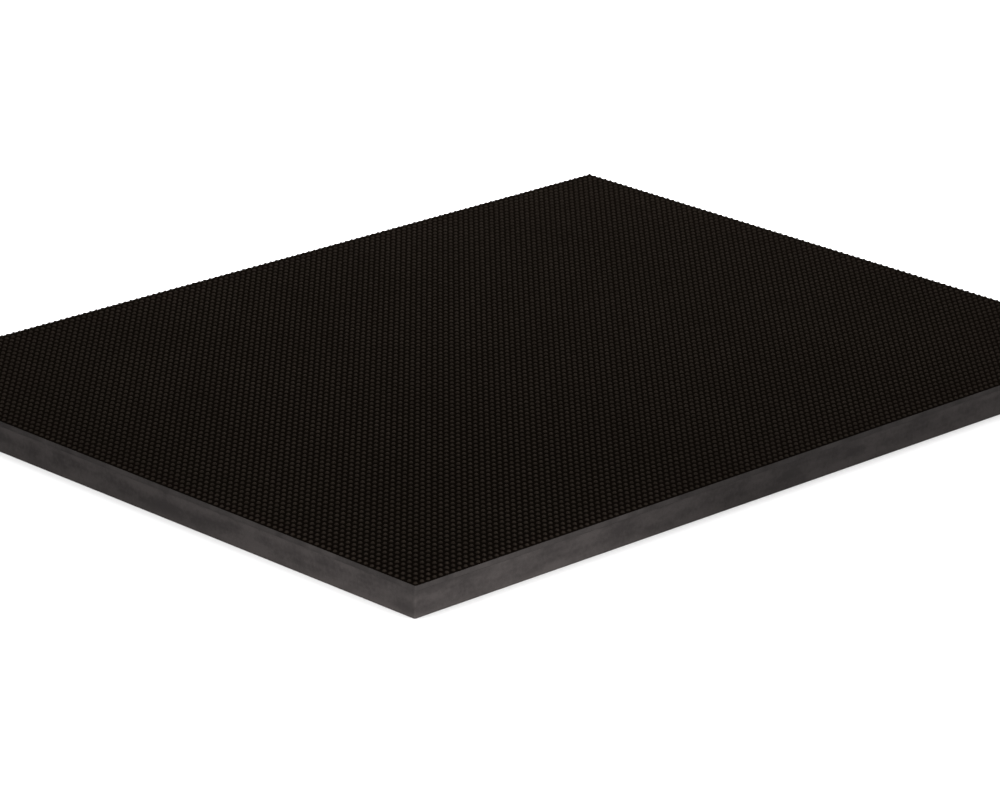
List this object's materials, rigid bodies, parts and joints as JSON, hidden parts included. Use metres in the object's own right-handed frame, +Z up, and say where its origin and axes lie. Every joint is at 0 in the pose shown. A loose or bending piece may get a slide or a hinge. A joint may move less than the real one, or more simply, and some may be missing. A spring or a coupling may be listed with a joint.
{
  "type": "anti fatigue mat",
  "caption": "Rectangular square-cut anti fatigue floor mat: a dense black sheet with a close grid of small round nubs, laminated onto a thick closed-cell sponge core.",
  "frame": {"origin": "centre of the underside, on the floor", "axes": "+X along the long edges, +Y along the short edges, +Z up through the layers towards the nubs"},
  "size_m": [0.6096, 0.4572, 0.0203],
  "materials": {
    "wear_sheet": "matte",
    "bond_film": "matte",
    "foam_core": "matte"
  },
  "bodies": {
    "root": {"wear_sheet": "wear_sheet", "bond_film": "bond_film", "foam_core": "foam_core"}
  },
  "joints": []
}
